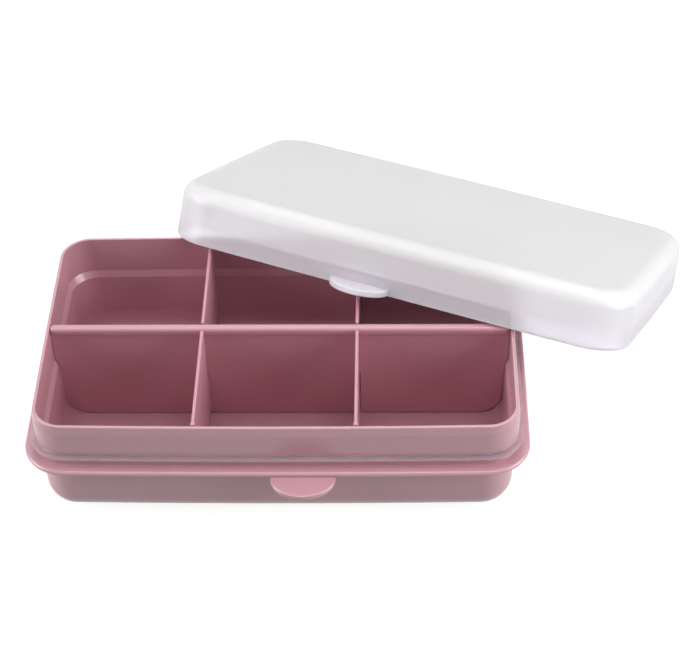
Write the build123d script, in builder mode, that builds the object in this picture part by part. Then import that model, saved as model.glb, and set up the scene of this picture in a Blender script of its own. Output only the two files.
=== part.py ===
"""Divided snack box: a low moulded box with a lift-out divider set and a frosted lid.

Millimetres, +Z up. The origin is the middle of the box's flat underside. X runs along the
box's length, and the side with the box's finger tab faces -Y. The lid is drawn where it
leans: across the right-hand back corner of the box, with its far side on the table.
"""

from build123d import *
import os

# Outside size of the box
FLANGE_LENGTH = 191.3
FLANGE_WIDTH = 117.6
BOX_HEIGHT = 49.0
WALL = 1.7
FLOOR = 2.4
LONG_SIDE_BOW = 1.0
SHORT_SIDE_BOW = 0.3

# Flange and finger tabs
FLANGE_REACH = 4.5
FLANGE_CORNER = 16.8
FLANGE_THICKNESS = 1.7
FLANGE_TOP_ROUNDING = 1.2
FLANGE_FOOT_ROUNDING = 0.4
TAB_WIDTH = 24.4
TAB_REACH = 9.8
TAB_EDGE_ROUNDING = 0.6
BOX_TAB_THICKNESS = 2.0
BOX_TAB_ALONG = 10.2
BOX_TAB_ROOT = 4.0

# Collar above the flange, which the lid closes over
COLLAR_HEIGHT = 19.1
COLLAR_DRAFT = 0.1
LEAD_IN_HEIGHT = 3.8
LEAD_IN_DEPTH = 0.6
RIM_ROUNDING = 0.4

# Body below the flange
BODY_INSET = 1.15
BODY_DRAFT = 0.7
BODY_CORNER = 12.0
BODY_BOTTOM_ROUNDING = 11.2
LEDGE_DEPTH = 1.3
LEDGE_HEIGHT = 2.7
LEDGE_BOTTOM_BELOW_FLANGE = 0.1

# Sealing ring and its groove at the foot of the collar
GROOVE_ABOVE_FLANGE = 3.0
GROOVE_HEIGHT = 2.4
GROOVE_DEPTH = 0.6
RING_CLEARANCE = 0.05
LIP_REACH = 2.0
LIP_THICKNESS = 0.9
LIP_ROUNDING = 0.4

# Divider set
BEAD_ABOVE_RIM = 0.7
DIVIDER_CLEARANCE = 0.45
BEAD_CLEARANCE = 0.25
LONG_PLATE = 1.3
CROSS_PLATE = 1.25
CROSS_TOP_BELOW_BEAD = 0.4
PLATE_EDGE_ROUNDING = 0.4
BEAD_WIDTH = 3.6
BEAD_HEIGHT = 3.4
BEAD_TOP_ROUNDING = 1.4
BEAD_FOOT_ROUNDING = 0.9
CROSS_DIVIDER_ALONG = 30.1
LAP_HEIGHT = 25.0
LAP_END_CLEARANCE = 0.8
LONG_SLOT_CLEARANCE = 0.55
CROSS_SLOT_CLEARANCE = 0.4
TIP_DIAMETER = 1.8

# Lid
LID_OVERHANG = 0.6
LID_HEIGHT = 22.9
LID_DRAFT = 0.5
LID_TOP_WALL = 1.6
LID_TOP_ROUNDING = 6.2
LID_RIM_ROUNDING = 0.5
SKIRT_WALL = 2.2
SHOULDER_HEIGHT = 7.4
SHOULDER_DEPTH = 0.6
LID_TAB_THICKNESS = 2.6
LID_TAB_ALONG = -10.3
LID_TAB_ROOT = 1.2

# How the lid leans: the middle of its open side, from the flange's right and back edges and
# from the rim, and the lid's turns about X, then Y, then Z
LID_FROM_RIGHT = -35.7
LID_FROM_BACK = 7.8
LID_FROM_RIM = -23.15
LID_TURNS = (-25.1, 0.45, -21.55)

# Heights and insets that follow; an inset is measured inward from the flange's outline
flange_top = BOX_HEIGHT - COLLAR_HEIGHT
flange_bottom = flange_top - FLANGE_THICKNESS
bead_top = BOX_HEIGHT + BEAD_ABOVE_RIM
collar_corner = FLANGE_CORNER - FLANGE_REACH
cavity_corner = collar_corner - WALL
cavity_floor_rounding = BODY_BOTTOM_ROUNDING - WALL
body_top_inset = FLANGE_REACH + BODY_INSET
rim_inset = FLANGE_REACH + WALL
ledge_bottom = flange_top - LEDGE_BOTTOM_BELOW_FLANGE
ledge_top = ledge_bottom + LEDGE_HEIGHT
ledge_bottom_inset = rim_inset + COLLAR_DRAFT + LEDGE_DEPTH
cavity_levels = [
    (BOX_HEIGHT, rim_inset),
    (ledge_top, rim_inset + COLLAR_DRAFT),
    (ledge_bottom, ledge_bottom_inset),
    (FLOOR, ledge_bottom_inset + BODY_DRAFT),
]


def outline(inset, corner):
    """Rounded rectangle with gently bowed sides, inset from the flange's outline."""
    half_length = FLANGE_LENGTH / 2 - inset
    half_width = FLANGE_WIDTH / 2 - inset
    long_bow = half_width + LONG_SIDE_BOW
    short_bow = half_length + SHORT_SIDE_BOW
    with BuildSketch(mode=Mode.PRIVATE) as shape:
        with BuildLine():
            front = ThreePointArc((-half_length, -half_width), (0, -long_bow), (half_length, -half_width))
            right = ThreePointArc(front @ 1, (short_bow, 0), (half_length, half_width))
            back = ThreePointArc(right @ 1, (0, long_bow), (-half_length, half_width))
            ThreePointArc(back @ 1, (-short_bow, 0), front @ 0)
        make_face()
        fillet(shape.vertices(), corner)
    return shape.sketch


def finger_tab(plane, along, thickness, root):
    """Half-oval tab in front of the flange's outline, with a root that runs in behind it."""
    half = TAB_WIDTH / 2
    edge = -FLANGE_WIDTH / 2 - LONG_SIDE_BOW * (1 - (2 * along / FLANGE_LENGTH) ** 2)
    with BuildPart(mode=Mode.PRIVATE) as tab:
        with BuildSketch(plane):
            with BuildLine():
                EllipticalCenterArc((along, edge), half, TAB_REACH, start_angle=180, arc_size=180)
                Polyline(
                    (along + half, edge),
                    (along + half, edge + root),
                    (along - half, edge + root),
                    (along - half, edge),
                )
            make_face()
        extrude(amount=thickness)
        fillet(tab.edges().filter_by(GeomType.ELLIPSE), TAB_EDGE_ROUNDING)
    return tab.part


def divider_outline(half_span, top):
    """Plate that fills the cavity's section, short of its walls and floor by the clearance."""
    side = [(half_span - inset - DIVIDER_CLEARANCE, height) for height, inset in cavity_levels]
    side[0] = (side[0][0], top)
    side[-1] = (side[-1][0], FLOOR + DIVIDER_CLEARANCE)
    mirrored = [(-x, height) for x, height in reversed(side)]
    with BuildSketch(mode=Mode.PRIVATE) as shape:
        with BuildLine():
            Polyline(*side, *mirrored, close=True)
        make_face()
        fillet(shape.vertices().group_by(Axis.Y)[0], cavity_floor_rounding)
    return shape.sketch


# Cavity of the box, from the rim down over the ledge to the rounded floor
with BuildPart() as cavity:
    for height, inset in cavity_levels:
        with BuildSketch(Plane.XY.offset(height)):
            add(outline(inset, cavity_corner))
    loft(ruled=True)
    fillet(cavity.faces().sort_by(Axis.Z)[0].edges(), cavity_floor_rounding)

# Box: flange, body, collar and finger tab in one moulding
with BuildPart() as base_box:
    with BuildSketch(Plane.XY.offset(flange_bottom)):
        add(outline(0, FLANGE_CORNER))
    extrude(amount=FLANGE_THICKNESS)
    fillet(base_box.edges().group_by(Axis.Z)[-1], FLANGE_TOP_ROUNDING)
    fillet(base_box.edges().group_by(Axis.Z)[0], FLANGE_FOOT_ROUNDING)

    with BuildSketch():
        add(outline(body_top_inset + BODY_DRAFT, BODY_CORNER))
    with BuildSketch(Plane.XY.offset(flange_bottom)):
        add(outline(body_top_inset, BODY_CORNER))
    loft()
    fillet(base_box.faces().sort_by(Axis.Z)[0].edges(), BODY_BOTTOM_ROUNDING)

    with BuildSketch(Plane.XY.offset(flange_top)):
        add(outline(FLANGE_REACH, collar_corner))
    extrude(amount=COLLAR_HEIGHT - LEAD_IN_HEIGHT)
    with BuildSketch(Plane.XY.offset(BOX_HEIGHT - LEAD_IN_HEIGHT)):
        add(outline(FLANGE_REACH, collar_corner))
    with BuildSketch(Plane.XY.offset(BOX_HEIGHT)):
        add(outline(FLANGE_REACH + LEAD_IN_DEPTH, collar_corner - LEAD_IN_DEPTH))
    loft()
    fillet(base_box.faces().sort_by(Axis.Z)[-1].edges(), RIM_ROUNDING)

    add(cavity.part, mode=Mode.SUBTRACT)

    with BuildSketch(Plane.XY.offset(flange_top + GROOVE_ABOVE_FLANGE)):
        add(outline(FLANGE_REACH - 1, collar_corner + 1))
        add(outline(FLANGE_REACH + GROOVE_DEPTH, collar_corner - GROOVE_DEPTH), mode=Mode.SUBTRACT)
    extrude(amount=GROOVE_HEIGHT, mode=Mode.SUBTRACT)

    tab_plane = Plane.XY.offset(flange_bottom - BOX_TAB_THICKNESS)
    add(finger_tab(tab_plane, BOX_TAB_ALONG, BOX_TAB_THICKNESS, BOX_TAB_ROOT))

# Sealing ring: a band that sits in the groove, with a lip all round that bends against the lid
groove_floor_inset = FLANGE_REACH + GROOVE_DEPTH
ring_bottom = flange_top + GROOVE_ABOVE_FLANGE + RING_CLEARANCE
ring_height = GROOVE_HEIGHT - 2 * RING_CLEARANCE
with BuildPart() as sealing_ring:
    with BuildSketch(Plane.XY.offset(ring_bottom + (ring_height - LIP_THICKNESS) / 2)):
        add(outline(FLANGE_REACH - LIP_REACH, collar_corner + LIP_REACH))
    extrude(amount=LIP_THICKNESS)
    fillet(sealing_ring.edges().group_by(Axis.Z)[-1], LIP_ROUNDING)
    fillet(sealing_ring.edges().group_by(Axis.Z)[0], LIP_ROUNDING)
    with BuildSketch(Plane.XY.offset(ring_bottom)):
        add(outline(FLANGE_REACH, collar_corner))
    extrude(amount=ring_height)
    with BuildSketch(Plane.XY.offset(ring_bottom)):
        add(outline(groove_floor_inset - RING_CLEARANCE, collar_corner - GROOVE_DEPTH + RING_CLEARANCE))
    extrude(amount=ring_height, mode=Mode.SUBTRACT)

# Long divider: a plate across the middle of the box, hung from a thick rounded bead
bead_foot = bead_top - BEAD_HEIGHT
long_span = FLANGE_LENGTH / 2 + SHORT_SIDE_BOW
long_slot = CROSS_PLATE + 2 * LONG_SLOT_CLEARANCE
with BuildPart() as long_divider:
    with BuildSketch(Plane.XY.offset(bead_foot)):
        SlotOverall(2 * (long_span - rim_inset - BEAD_CLEARANCE), BEAD_WIDTH)
    extrude(amount=BEAD_HEIGHT)
    fillet(long_divider.edges().group_by(Axis.Z)[-1], BEAD_TOP_ROUNDING)
    fillet(long_divider.edges().group_by(Axis.Z)[0], BEAD_FOOT_ROUNDING)
    with BuildSketch(Plane.XZ):
        add(divider_outline(long_span, bead_top - BEAD_HEIGHT / 2))
        with Locations((-CROSS_DIVIDER_ALONG, 0), (CROSS_DIVIDER_ALONG, 0)):
            Rectangle(long_slot, LAP_HEIGHT, align=(Align.CENTER, Align.MIN), mode=Mode.SUBTRACT)
    extrude(amount=LONG_PLATE / 2, both=True)


def cross_divider(along):
    """Plate from front to back that straddles the long divider, with a thickened tip at each wall."""
    bow = LONG_SIDE_BOW * (1 - (2 * along / FLANGE_LENGTH) ** 2)
    span = FLANGE_WIDTH / 2 + bow
    top = bead_top - CROSS_TOP_BELOW_BEAD
    tip_place = span - rim_inset - COLLAR_DRAFT - DIVIDER_CLEARANCE - TIP_DIAMETER / 2
    plate_slot = LONG_PLATE + 2 * CROSS_SLOT_CLEARANCE
    bead_slot = BEAD_WIDTH + 2 * CROSS_SLOT_CLEARANCE
    with BuildPart() as divider:
        with BuildSketch(Plane.YZ.offset(along)):
            add(divider_outline(span, top))
        extrude(amount=CROSS_PLATE / 2, both=True)
        with BuildSketch(Plane.XY.offset(ledge_top)):
            with Locations((along, -tip_place), (along, tip_place)):
                Circle(TIP_DIAMETER / 2)
        extrude(amount=top - ledge_top)
        fillet(divider.edges().group_by(Axis.Z)[-1], PLATE_EDGE_ROUNDING)
        with BuildSketch(Plane.YZ.offset(along)):
            with Locations((0, LAP_HEIGHT - LAP_END_CLEARANCE)):
                Rectangle(plate_slot, top, align=(Align.CENTER, Align.MIN))
            with Locations((0, bead_foot - CROSS_SLOT_CLEARANCE)):
                Rectangle(bead_slot, top, align=(Align.CENTER, Align.MIN))
        extrude(amount=TIP_DIAMETER, both=True, mode=Mode.SUBTRACT)
    return divider.part


cross_divider_left = cross_divider(-CROSS_DIVIDER_ALONG)
cross_divider_right = cross_divider(CROSS_DIVIDER_ALONG)

# Plane of the lid's open side, with its far side low
lid_place = (
    FLANGE_LENGTH / 2 + LID_FROM_RIGHT,
    FLANGE_WIDTH / 2 + LID_FROM_BACK,
    BOX_HEIGHT + LID_FROM_RIM,
)
lid_plane = Plane(Location(lid_place, LID_TURNS, Extrinsic.XYZ))
lid_axis = Axis(lid_plane.origin, lid_plane.z_dir)
lid_corner = FLANGE_CORNER + LID_OVERHANG
skirt_inset = SKIRT_WALL - LID_OVERHANG
shoulder_inset = skirt_inset + SHOULDER_DEPTH
hollow_top = LID_HEIGHT - LID_TOP_WALL

# Hollow of the lid: wider inside the skirt, then a small shoulder and the drafted upper walls
with BuildPart() as lid_hollow:
    with BuildSketch(lid_plane.offset(SHOULDER_HEIGHT)):
        add(outline(shoulder_inset, lid_corner - SKIRT_WALL))
    with BuildSketch(lid_plane.offset(hollow_top)):
        add(outline(shoulder_inset + LID_DRAFT, lid_corner - SKIRT_WALL))
    loft()
    fillet(lid_hollow.faces().sort_by(lid_axis)[-1].edges(), LID_TOP_ROUNDING - LID_TOP_WALL)
    with BuildSketch(lid_plane):
        add(outline(skirt_inset, lid_corner - SKIRT_WALL))
    extrude(amount=SHOULDER_HEIGHT)

# Lid: one drafted wall up to a well rounded top edge, a rounded rim and a finger tab
with BuildPart() as lid:
    with BuildSketch(lid_plane):
        add(outline(-LID_OVERHANG, lid_corner))
    with BuildSketch(lid_plane.offset(LID_HEIGHT)):
        add(outline(LID_DRAFT - LID_OVERHANG, lid_corner))
    loft()
    fillet(lid.faces().sort_by(lid_axis)[-1].edges(), LID_TOP_ROUNDING)
    add(lid_hollow.part, mode=Mode.SUBTRACT)
    fillet(lid.edges().group_by(lid_axis)[0], LID_RIM_ROUNDING)
    add(finger_tab(lid_plane, LID_TAB_ALONG, LID_TAB_THICKNESS, LID_TAB_ROOT))

base_box.part.label = "base_box"
sealing_ring.part.label = "sealing_ring"
long_divider.part.label = "long_divider"
cross_divider_left.label = "cross_divider_left"
cross_divider_right.label = "cross_divider_right"
lid.part.label = "lid"

os.makedirs("parts", exist_ok=True)
export_step(base_box.part, "parts/base_box.step")
export_step(sealing_ring.part, "parts/sealing_ring.step")
export_step(long_divider.part, "parts/long_divider.step")
export_step(cross_divider_left, "parts/cross_divider_left.step")
export_step(cross_divider_right, "parts/cross_divider_right.step")
export_step(lid.part, "parts/lid.step")
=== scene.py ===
"""Looks of a divided snack box: dusty pink mouldings, a milky sealing ring and a frosted lid.

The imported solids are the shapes. This script gives them their plastics and silicone, with the
fine grain and cloudiness of the real ones, and sets the table, the lights and the camera.
"""

import logging
import math
from dataclasses import dataclass
from enum import Enum
from typing import Protocol

import bpy
from mathutils import Euler, Matrix, Vector

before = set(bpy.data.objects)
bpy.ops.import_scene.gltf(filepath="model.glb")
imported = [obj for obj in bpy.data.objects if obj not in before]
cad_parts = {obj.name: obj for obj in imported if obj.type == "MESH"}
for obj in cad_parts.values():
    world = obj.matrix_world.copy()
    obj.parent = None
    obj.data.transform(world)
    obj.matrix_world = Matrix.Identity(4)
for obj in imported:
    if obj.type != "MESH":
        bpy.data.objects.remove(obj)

LOG = logging.getLogger("snack_box")
MM = 0.001
SHOWING_RAYS = ("Camera", "Glossy", "Transmission")


@dataclass(frozen=True)
class Colour:
    """A linear colour."""

    red: float
    green: float
    blue: float

    def scaled(self, share: float) -> "Colour":
        """The same hue, lighter or darker by a share."""
        return Colour(self.red * share, self.green * share, self.blue * share)

    def rgba(self) -> tuple[float, float, float, float]:
        """The colour with full alpha, as a socket takes it."""
        return (self.red, self.green, self.blue, 1.0)


class Signal:
    """A node's output socket that can be used in sums and products."""

    def __init__(self, graph: "ShaderGraph", socket: bpy.types.NodeSocket | None) -> None:
        """Keeps the graph that grows and the socket that it grows from."""
        self.graph = graph
        self.socket = socket

    def _maths(self, operation: str, *values: "Signal | float") -> "Signal":
        """Adds one Math node.

        Args:
            operation: the Math node's operation.
            values: numbers or signals for its sockets, in order.

        Returns:
            The node's result.
        """
        return self.graph.node("ShaderNodeMath", {"operation": operation}, dict(enumerate(values)))

    def __add__(self, other: "Signal | float") -> "Signal":
        """The sum of two values."""
        return self._maths("ADD", self, other)

    __radd__ = __add__

    def __sub__(self, other: "Signal | float") -> "Signal":
        """This value less another."""
        return self._maths("SUBTRACT", self, other)

    def __rsub__(self, other: "Signal | float") -> "Signal":
        """Another value less this one."""
        return self._maths("SUBTRACT", other, self)

    def __mul__(self, other: "Signal | float") -> "Signal":
        """The product of two values."""
        return self._maths("MULTIPLY", self, other)

    __rmul__ = __mul__

    def clamped(self) -> "Signal":
        """The value held between nought and one."""
        return self.graph.node("ShaderNodeClamp", {}, {"Value": self})


class ShaderGraph:
    """A material's or a world's node tree, built by name."""

    def __init__(self, tree: bpy.types.NodeTree) -> None:
        """Takes over a tree and empties it."""
        self.tree = tree
        self.tree.nodes.clear()

    def node(
        self,
        kind: str,
        settings: dict[str, object],
        inputs: dict[str | int, object],
        output: str | int = 0,
    ) -> Signal:
        """Adds a node.

        Args:
            kind: the node's type name.
            settings: properties of the node, which are set before its sockets.
            inputs: socket name or number to a number, colour, vector or signal.
            output: name or number of the output socket to hand back.

        Returns:
            The chosen output as a signal, which is empty for a node without outputs.
        """
        made = self.tree.nodes.new(kind)
        for name, value in settings.items():
            setattr(made, name, value)
        for name, value in inputs.items():
            if isinstance(value, Signal):
                self.tree.links.new(value.socket, made.inputs[name])
            elif isinstance(value, Colour):
                made.inputs[name].default_value = value.rgba()
            else:
                made.inputs[name].default_value = value
        return Signal(self, made.outputs[output] if made.outputs else None)

    def mix(self, factor: Signal, first: Signal | Colour, second: Signal | Colour) -> Signal:
        """Mixes two colours.

        Args:
            factor: share of the second colour.
            first: colour or signal at factor nought.
            second: colour or signal at factor one.

        Returns:
            The mixed colour.
        """
        settings = {"data_type": "RGBA"}
        return self.node("ShaderNodeMix", settings, {0: factor, 6: first, 7: second}, output=2)

    def place(self) -> Signal:
        """The point on the piece, in metres in the part's own frame."""
        return self.node("ShaderNodeTexCoord", {}, {}, output="Object")

    def noise(self, size: float, detail: float = 2.0) -> Signal:
        """Soft noise.

        Args:
            size: width of its patches, in metres.
            detail: how many finer octaves it has.

        Returns:
            A value around one half.
        """
        inputs = {"Vector": self.place(), "Scale": 1.0 / size, "Detail": detail}
        return self.node("ShaderNodeTexNoise", {}, inputs, output="Fac")

    def rise(self, value: Signal, low: float, high: float) -> Signal:
        """A soft step.

        Args:
            value: what is tested.
            low: where the step starts.
            high: where it ends.

        Returns:
            Nought below the step, one above it.
        """
        inputs = {"Value": value, "From Min": low, "From Max": high}
        return self.node("ShaderNodeMapRange", {"interpolation_type": "SMOOTHSTEP"}, inputs)

    def along(self, origin: Vector, direction: Vector) -> Signal:
        """Distance from a plane.

        Args:
            origin: a point on the plane, in metres.
            direction: the plane's normal, of length one.

        Returns:
            How far the point on the piece lies beyond the plane, in metres.
        """
        inputs = {0: self.place(), 1: tuple(direction)}
        reach = self.node("ShaderNodeVectorMath", {"operation": "DOT_PRODUCT"}, inputs, output="Value")
        return reach - origin.dot(direction)

    def bump(self, height: Signal, depth: float) -> Signal:
        """A bumped normal.

        Args:
            height: value from nought to one.
            depth: how deep one unit of height is, in metres.

        Returns:
            The normal.
        """
        return self.node("ShaderNodeBump", {}, {"Height": height, "Strength": 1.0, "Distance": depth})

    def surface(self, shader: Signal) -> None:
        """Connects a shader to the tree's surface output."""
        self.node("ShaderNodeOutputMaterial", {}, {"Surface": shader})

    def backdrop_rays(self) -> Signal:
        """One for rays that show the backdrop: straight, mirrored or through the lid."""
        rays = [self.node("ShaderNodeLightPath", {}, {}, output=f"Is {kind} Ray") for kind in SHOWING_RAYS]
        return (rays[0] + rays[1] + rays[2]).clamped()


def new_graph(name: str) -> tuple[bpy.types.Material, ShaderGraph]:
    """Makes an empty node material.

    Args:
        name: the material's name.

    Returns:
        The material and its graph.
    """
    material = bpy.data.materials.new(name)
    material.use_nodes = True
    return material, ShaderGraph(material.node_tree)


@dataclass(frozen=True)
class MouldedPlastic:
    """Dyed polypropylene as it comes from a polished mould."""

    name: str
    colour: Colour
    roughness: float
    roughness_spread: float = 0.02
    colour_spread: float = 0.015
    refraction: float = 1.49
    shine: float = 0.95
    depth_share: float = 0.12
    depth_colour: tuple[float, float, float] = (1.0, 0.45, 0.5)
    depth: float = 1.5 * MM
    cloud_size: float = 22 * MM
    ripple_size: float = 9 * MM
    ripple_share: float = 2.0
    grain_size: float = 0.35 * MM
    grain_share: float = 0.5
    grain_depth: float = 0.004 * MM

    def material(self) -> bpy.types.Material:
        """Builds the material: a slightly cloudy dye, a hazy gloss and a fine mould grain.

        Returns:
            The material.
        """
        material, graph = new_graph(self.name)
        cloud = graph.noise(self.cloud_size)
        grain = graph.noise(self.grain_size, detail=3.0)
        ripple = graph.noise(self.ripple_size, detail=1.0)
        dark = self.colour.scaled(1.0 - self.colour_spread)
        light = self.colour.scaled(1.0 + self.colour_spread)
        smoothest = self.roughness - self.roughness_spread / 2
        relief = self.grain_share * grain + self.ripple_share * ripple
        shader = graph.node(
            "ShaderNodeBsdfPrincipled",
            {},
            {
                "Base Color": graph.mix(cloud, dark, light),
                "Roughness": smoothest + self.roughness_spread * cloud,
                "IOR": self.refraction,
                "Specular IOR Level": self.shine,
                "Subsurface Weight": self.depth_share,
                "Subsurface Radius": self.depth_colour,
                "Subsurface Scale": self.depth,
                "Normal": graph.bump(relief, self.grain_depth),
            },
        )
        graph.surface(shader)
        return material


@dataclass(frozen=True)
class MilkySilicone:
    """Soft seal, milky and faintly lilac."""

    name: str
    colour: Colour
    roughness: float
    clearness: float
    roughness_spread: float = 0.06
    darkest: float = 0.94
    lightest: float = 1.04
    refraction: float = 1.41
    depth_share: float = 0.2
    depth_colour: tuple[float, float, float] = (1.0, 1.0, 1.0)
    depth: float = 1.0 * MM
    haze_size: float = 2.5 * MM
    haze_depth: float = 0.004 * MM

    def material(self) -> bpy.types.Material:
        """Builds the material: hazy, with most of the light passing through.

        Returns:
            The material.
        """
        material, graph = new_graph(self.name)
        haze = graph.noise(self.haze_size)
        dark = self.colour.scaled(self.darkest)
        light = self.colour.scaled(self.lightest)
        shader = graph.node(
            "ShaderNodeBsdfPrincipled",
            {},
            {
                "Base Color": graph.mix(haze, dark, light),
                "Roughness": self.roughness + self.roughness_spread * haze,
                "IOR": self.refraction,
                "Transmission Weight": self.clearness,
                "Subsurface Weight": self.depth_share,
                "Subsurface Radius": self.depth_colour,
                "Subsurface Scale": self.depth,
                "Normal": graph.bump(haze, self.haze_depth),
            },
        )
        graph.surface(shader)
        return material


@dataclass(frozen=True)
class Lean:
    """How the lid leans: the middle of its open side and its turns about X, then Y, then Z."""

    place: tuple[float, float, float] = (59.95 * MM, 66.6 * MM, 25.85 * MM)
    turns: tuple[float, float, float] = (-25.1, 0.45, -21.55)

    def origin(self) -> Vector:
        """The middle of the open side."""
        return Vector(self.place)

    def inward(self) -> Vector:
        """The direction from the open side to the closed top."""
        return Euler([math.radians(turn) for turn in self.turns], "XYZ").to_matrix().col[2]


@dataclass(frozen=True)
class FrostedPlastic:
    """Natural polypropylene: clearest in the skirt, milkier up the wall and on top, with a painted glow
    along its foot.
    """

    name: str
    top_colour: Colour
    wall_colour: Colour
    lean: Lean = Lean()
    clearness: float = 0.97
    # the extra milk on the foot is a painted glow: a brighter band standing in for light guided along the
    # wall to its bottom edge
    painted_glow_milk: float = 0.75
    skirt_milk: float = 0.34
    wall_milk: float = 0.22
    top_milk: float = 0.08
    painted_glow_height: float = 0.7 * MM
    shoulder_height: float = 7.4 * MM
    rounding_start: float = 15.5 * MM
    rounding_end: float = 19.5 * MM
    clear_roughness: float = 0.34
    clear_roughness_on_top: float = 0.10
    clear_roughness_spread: float = 0.04
    clear_refraction: float = 1.45
    milky_roughness: float = 0.40
    milky_roughness_spread: float = 0.06
    milky_refraction: float = 1.49
    depth_share: float = 1.0
    depth_colour: tuple[float, float, float] = (1.0, 0.97, 1.0)
    depth: float = 1.2 * MM
    skin: float = 0.3
    skin_roughness: float = 0.30
    cloud_size: float = 30 * MM
    cloud_share: float = 6.0
    frost_size: float = 0.25 * MM
    frost_share: float = 0.5
    frost_depth: float = 0.004 * MM

    def material(self) -> bpy.types.Material:
        """Builds the material: a rough see-through plastic mixed with a milky one, by height.

        Returns:
            The material.
        """
        material, graph = new_graph(self.name)
        height = graph.along(self.lean.origin(), self.lean.inward())
        # painted glow: the lowest band of the wall is made milkier and so brighter, standing in for light
        # guided out at the edge
        painted_glow = 1.0 - graph.rise(height, 0.0, self.painted_glow_height)
        wall = graph.rise(height, self.shoulder_height - self.painted_glow_height, self.shoulder_height)
        top = graph.rise(height, self.rounding_start, self.rounding_end)
        cloud = graph.noise(self.cloud_size)
        frost = graph.noise(self.frost_size, detail=3.0)
        colour = graph.mix(top, self.wall_colour, self.top_colour)
        normal = graph.bump(self.frost_share * frost + self.cloud_share * cloud, self.frost_depth)
        clear_gloss = self.clear_roughness + self.clear_roughness_on_top * top
        clear = graph.node(
            "ShaderNodeBsdfPrincipled",
            {},
            {
                "Base Color": colour,
                "Roughness": clear_gloss + self.clear_roughness_spread * cloud,
                "IOR": self.clear_refraction,
                "Transmission Weight": self.clearness,
                "Coat Weight": self.skin,
                "Coat Roughness": self.skin_roughness,
                "Normal": normal,
            },
        )
        milky = graph.node(
            "ShaderNodeBsdfPrincipled",
            {},
            {
                "Base Color": colour,
                "Roughness": self.milky_roughness + self.milky_roughness_spread * cloud,
                "IOR": self.milky_refraction,
                "Subsurface Weight": self.depth_share,
                "Subsurface Radius": self.depth_colour,
                "Subsurface Scale": self.depth,
                "Coat Weight": self.skin,
                "Coat Roughness": self.skin_roughness,
                "Normal": normal,
            },
        )
        milk = self.skirt_milk + self.painted_glow_milk * painted_glow + self.wall_milk * wall + self.top_milk * top
        graph.surface(graph.node("ShaderNodeMixShader", {}, {0: milk.clamped(), 1: clear, 2: milky}))
        return material


class Tone(Enum):
    """The colours of the mouldings, the seal and the studio."""

    PINK = Colour(0.56, 0.298, 0.345)
    DEEP_PINK = Colour(0.555, 0.275, 0.326)
    LILAC_GREY = Colour(0.83, 0.74, 0.79)
    NATURAL = Colour(0.985, 0.967, 0.99)
    LILAC_WHITE = Colour(0.94, 0.905, 1.0)
    WHITE = Colour(1.0, 1.0, 1.0)


class Finish(Protocol):
    """Anything that can build a material."""

    def material(self) -> bpy.types.Material:
        """Builds the material."""


def dress(node: str, material: bpy.types.Material) -> None:
    """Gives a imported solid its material.

    Args:
        node: the solid's name.
        material: what it is to show.
    """
    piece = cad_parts[node]
    piece.data.materials.clear()
    piece.data.materials.append(material)
    LOG.info("dressed %s in %s", node, material.name)


@dataclass
class Box:
    """The tray with its sealing ring."""

    plastic: Finish = MouldedPlastic("pink_plastic", Tone.PINK.value, 0.28)
    silicone: Finish = MilkySilicone("milky_silicone", Tone.LILAC_GREY.value, 0.26, 0.84)

    def build(self) -> None:
        """Dresses the tray and the ring round its collar."""
        dress("base_box", self.plastic.material())
        dress("sealing_ring", self.silicone.material())


@dataclass
class Dividers:
    """The long divider and the two cross dividers lapped into it."""

    plastic: Finish = MouldedPlastic("divider_plastic", Tone.DEEP_PINK.value, 0.33)

    def build(self) -> None:
        """Dresses the three plates alike."""
        material = self.plastic.material()
        for node in ("long_divider", "cross_divider_left", "cross_divider_right"):
            dress(node, material)


@dataclass
class Lid:
    """The frosted lid, which leans on the tray."""

    plastic: Finish = FrostedPlastic("frosted_plastic", Tone.NATURAL.value, Tone.LILAC_WHITE.value)

    def build(self) -> None:
        """Dresses the lid."""
        dress("lid", self.plastic.material())


@dataclass
class Camera:
    """The photograph's view: a long lens from above the front. Its angles are in radians."""

    place: tuple[float, float, float] = (41.137 * MM, -538.615 * MM, 549.619 * MM)
    turn: float = math.radians(-1.462)
    pitch: float = math.radians(42.770)
    roll: float = math.radians(-1.111)
    focal_pixels: float = 1894.509
    width_pixels: float = 700
    sensor_width: float = 36.0
    nearest: float = 10 * MM
    farthest: float = 50.0

    def build(self) -> None:
        """Builds the camera and makes it the scene's."""
        data = bpy.data.cameras.new("camera")
        data.sensor_width = self.sensor_width
        data.lens = self.focal_pixels * self.sensor_width / self.width_pixels
        data.clip_start = self.nearest
        data.clip_end = self.farthest
        camera = bpy.data.objects.new("camera", data)
        camera.matrix_world = Matrix.Translation(self.place) @ self._rotation().to_4x4()
        bpy.context.scene.collection.objects.link(camera)
        bpy.context.scene.camera = camera

    def _rotation(self) -> Matrix:
        """Works out the way the camera is turned.

        Returns:
            A 3 x 3 matrix whose columns are its right, top and back.
        """
        level = Vector((math.cos(self.turn), -math.sin(self.turn), 0.0))
        flat = Vector((math.sin(self.turn), math.cos(self.turn), 0.0))
        forward = flat * math.cos(self.pitch) - Vector((0.0, 0.0, math.sin(self.pitch)))
        up = level.cross(forward)
        right = level * math.cos(self.roll) + up * math.sin(self.roll)
        top = up * math.cos(self.roll) - level * math.sin(self.roll)
        return Matrix((right, top, -forward)).transposed()


@dataclass
class SoftBox:
    """A square lamp that points at a spot, with its side in metres and its power in watts."""

    name: str
    place: tuple[float, float, float]
    side: float
    power: float
    target: tuple[float, float, float] = (0.03, 0.02, 0.03)

    def build(self) -> None:
        """Builds the lamp."""
        data = bpy.data.lights.new(self.name, "AREA")
        data.shape = "SQUARE"
        data.size = self.side
        data.energy = self.power
        lamp = bpy.data.objects.new(self.name, data)
        lamp.location = self.place
        lamp.rotation_mode = "QUATERNION"
        lamp.rotation_quaternion = (Vector(self.target) - Vector(self.place)).to_track_quat("-Z", "Y")
        bpy.context.scene.collection.objects.link(lamp)


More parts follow.
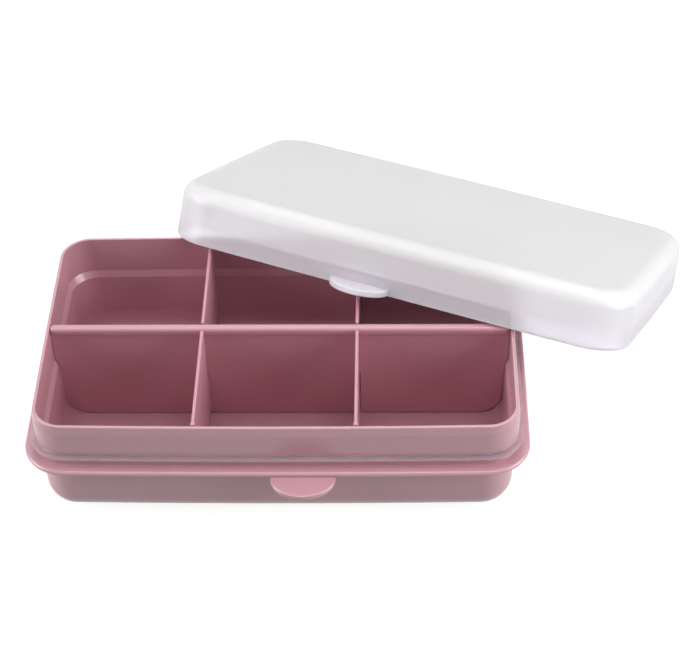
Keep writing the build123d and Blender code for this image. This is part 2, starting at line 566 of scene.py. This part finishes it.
@dataclass
class Studio:
    """A pale table top in an evenly lit room, with soft boxes over it."""

    floor_side: float = 12.0
    floor_drop: float = 0.2 * MM
    floor_bounce: float = 0.27
    floor_glow: float = 0.86
    shadow_depth: float = 0.3
    room_light: float = 0.04
    soft_boxes: tuple[SoftBox, ...] = (
        SoftBox("left_light", (-2.20, -0.30, 0.95), 1.6, 50.0),
        SoftBox("right_light", (0.85, -0.25, 0.37), 0.65, 7.8),
        SoftBox("top_light", (0.05, 0.02, 1.40), 1.0, 8.8),
        SoftBox("back_light", (0.05, 0.95, 0.95), 0.9, 3.0),
    )

    def build(self) -> None:
        """Builds the floor, the room and the lamps."""
        bpy.context.scene.view_settings.view_transform = "Standard"
        self._build_floor()
        self._build_room()
        for soft_box in self.soft_boxes:
            soft_box.build()
        LOG.info("studio with %d soft boxes", len(self.soft_boxes))

    def _build_floor(self) -> None:
        """Lays a table top that looks white and keeps a faint shadow."""
        mesh = bpy.data.meshes.new("floor")
        half = self.floor_side / 2
        corners = [(x * half, y * half, -self.floor_drop) for x, y in ((-1, -1), (1, -1), (1, 1), (-1, 1))]
        mesh.from_pydata(corners, [], [(0, 1, 2, 3)])
        floor = bpy.data.objects.new("floor", mesh)
        bpy.context.scene.collection.objects.link(floor)
        material, graph = new_graph("floor")
        rays = graph.backdrop_rays()
        white = Tone.WHITE.value
        tone = graph.mix(rays, white.scaled(self.floor_bounce), white.scaled(self.shadow_depth))
        table = graph.node("ShaderNodeBsdfDiffuse", {}, {"Color": tone})
        glow = graph.node("ShaderNodeEmission", {}, {"Color": white, "Strength": rays * self.floor_glow})
        graph.surface(graph.node("ShaderNodeAddShader", {}, {0: table, 1: glow}))
        mesh.materials.append(material)

    def _build_room(self) -> None:
        """Fills the room with even light and shows it white."""
        world = bpy.data.worlds.new("room")
        bpy.context.scene.world = world
        world.use_nodes = True
        graph = ShaderGraph(world.node_tree)
        strength = self.room_light + (1.0 - self.room_light) * graph.backdrop_rays()
        light = graph.node("ShaderNodeBackground", {}, {"Color": Tone.WHITE.value, "Strength": strength})
        graph.node("ShaderNodeOutputWorld", {}, {"Surface": light})


def main() -> None:
    """Dresses the pieces, then sets the studio and the camera."""
    logging.basicConfig(level=logging.INFO)
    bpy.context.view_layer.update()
    for assembly in (Box(), Dividers(), Lid(), Studio(), Camera()):
        assembly.build()


if __name__ == "__main__":
    main()
